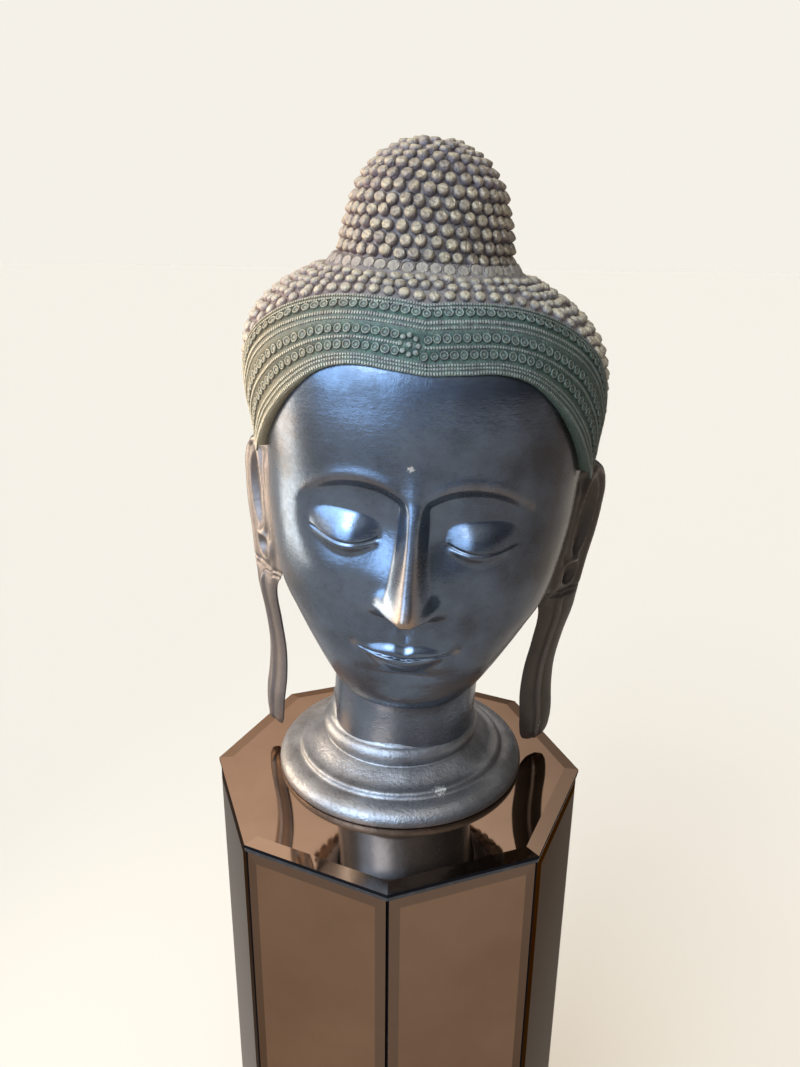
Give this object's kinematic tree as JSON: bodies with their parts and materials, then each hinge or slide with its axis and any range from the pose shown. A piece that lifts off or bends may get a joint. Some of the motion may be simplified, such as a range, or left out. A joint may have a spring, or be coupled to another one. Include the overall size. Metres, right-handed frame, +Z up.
{
  "type": "bronze Buddha head on a mirrored stand",
  "caption": "Cast bronze Buddha head with a beaded hairline band and long ears, standing on an octagonal stand clad in bevelled bronze mirror.",
  "frame": {"origin": "centre of the stand's underside, on the floor", "axes": "+Z up; -Y towards the viewer, along the stand's front corner and the way the face looks; +X to the viewer's right"},
  "size_m": [0.4014, 0.3892, 1.5333],
  "materials": {
    "dark_bronze": "blue-black patina polished to a satin gloss, worn brown at the edges",
    "bronze_mirror": "bronze-tinted mirror glass with a ground bevel",
    "black_case": "black satin paint on board"
  },
  "bodies": {
    "root": {"bronze_head": "dark_bronze", "stand_case": "black_case", "top_mirror": "bronze_mirror", "side_mirror_1": "bronze_mirror", "side_mirror_2": "bronze_mirror", "side_mirror_3": "bronze_mirror", "side_mirror_4": "bronze_mirror", "side_mirror_5": "bronze_mirror", "side_mirror_6": "bronze_mirror", "side_mirror_7": "bronze_mirror", "side_mirror_8": "bronze_mirror"}
  },
  "joints": []
}
